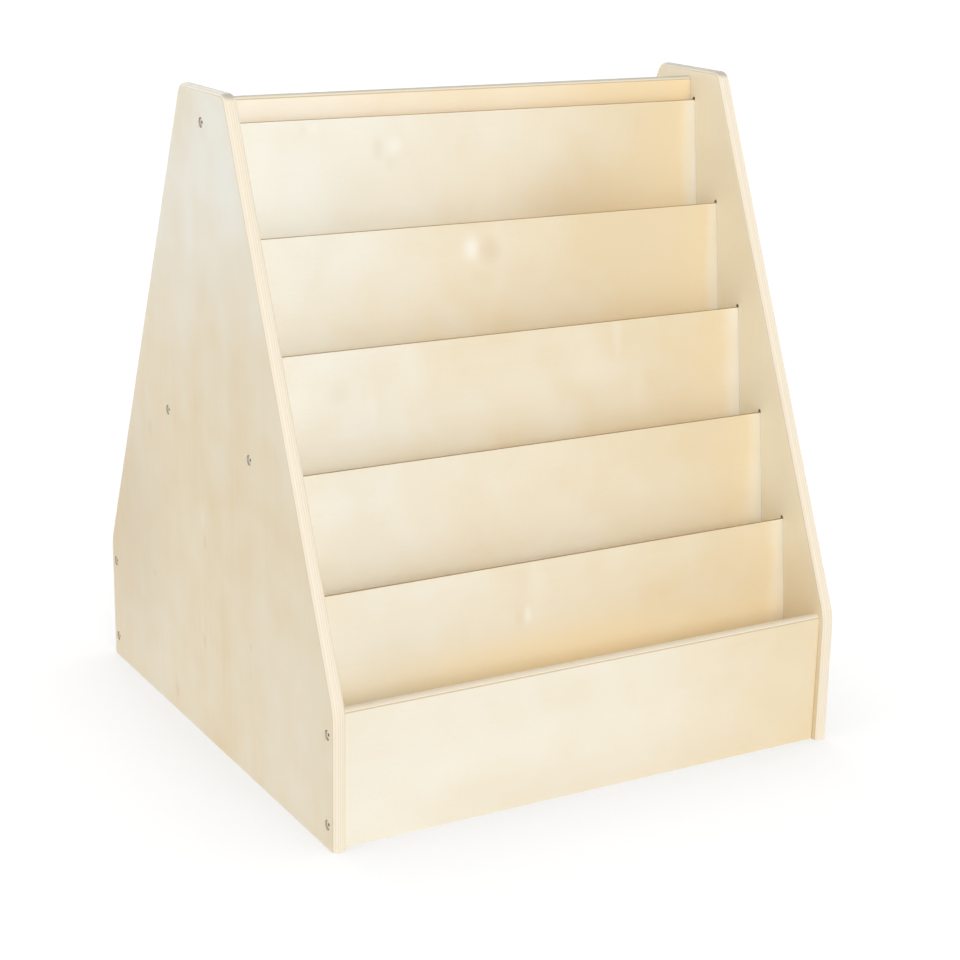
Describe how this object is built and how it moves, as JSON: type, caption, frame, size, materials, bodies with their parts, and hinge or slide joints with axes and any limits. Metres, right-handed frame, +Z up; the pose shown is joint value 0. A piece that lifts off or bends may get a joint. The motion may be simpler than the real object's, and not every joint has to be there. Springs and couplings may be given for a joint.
{
  "type": "book display shelf",
  "caption": "Free-standing double-sided plywood book display: sloped side panels carry stepped, tilted panels that form pockets for books shown face out.",
  "frame": {"origin": "on the floor, in the middle of the base", "axes": "+Z up, X along the width, the front face looks along -Y and the rear face along +Y"},
  "size_m": [0.762, 0.762, 0.889],
  "materials": {
    "side": "birch plywood, clear satin lacquer, plies showing on the rounded edges",
    "ledge": "birch plywood, clear satin lacquer, grain along the board",
    "rail": "birch plywood, clear satin lacquer, grain along the board",
    "panel": "thin birch plywood, clear satin lacquer, grain along the panel",
    "floor": "birch plywood, clear lacquer",
    "screw": "zinc plated",
    "dowel": "raw beech"
  },
  "bodies": {
    "root": {"left_side_panel": "side", "right_side_panel": "side", "front_ledge": "ledge", "rear_ledge": "ledge", "top_rail": "rail", "front_mid_rail": "rail", "rear_mid_rail": "rail", "front_display_panel_1": "panel", "front_display_panel_2": "panel", "front_display_panel_3": "panel", "front_display_panel_4": "panel", "front_display_panel_5": "panel", "rear_display_panel_1": "panel", "rear_display_panel_2": "panel", "rear_display_panel_3": "panel", "rear_display_panel_4": "panel", "rear_display_panel_5": "panel", "front_pocket_floor_1": "floor", "front_pocket_floor_2": "floor", "front_pocket_floor_3": "floor", "front_pocket_floor_4": "floor", "front_pocket_floor_5": "floor", "rear_pocket_floor_1": "floor", "rear_pocket_floor_2": "floor", "rear_pocket_floor_3": "floor", "rear_pocket_floor_4": "floor", "rear_pocket_floor_5": "floor", "left_top_rail_screw": "screw", "left_front_mid_rail_screw": "screw", "left_rear_mid_rail_screw": "screw", "left_front_ledge_upper_screw": "screw", "left_front_ledge_lower_screw": "screw", "left_rear_ledge_upper_screw": "screw", "left_rear_ledge_lower_screw": "screw", "left_top_rail_dowel": "dowel", "left_front_mid_rail_dowel": "dowel", "left_rear_mid_rail_dowel": "dowel", "right_top_rail_screw": "screw", "right_front_mid_rail_screw": "screw", "right_rear_mid_rail_screw": "screw", "right_front_ledge_upper_screw": "screw", "right_front_ledge_lower_screw": "screw", "right_rear_ledge_upper_screw": "screw", "right_rear_ledge_lower_screw": "screw", "right_top_rail_dowel": "dowel", "right_front_mid_rail_dowel": "dowel", "right_rear_mid_rail_dowel": "dowel"}
  },
  "joints": []
}
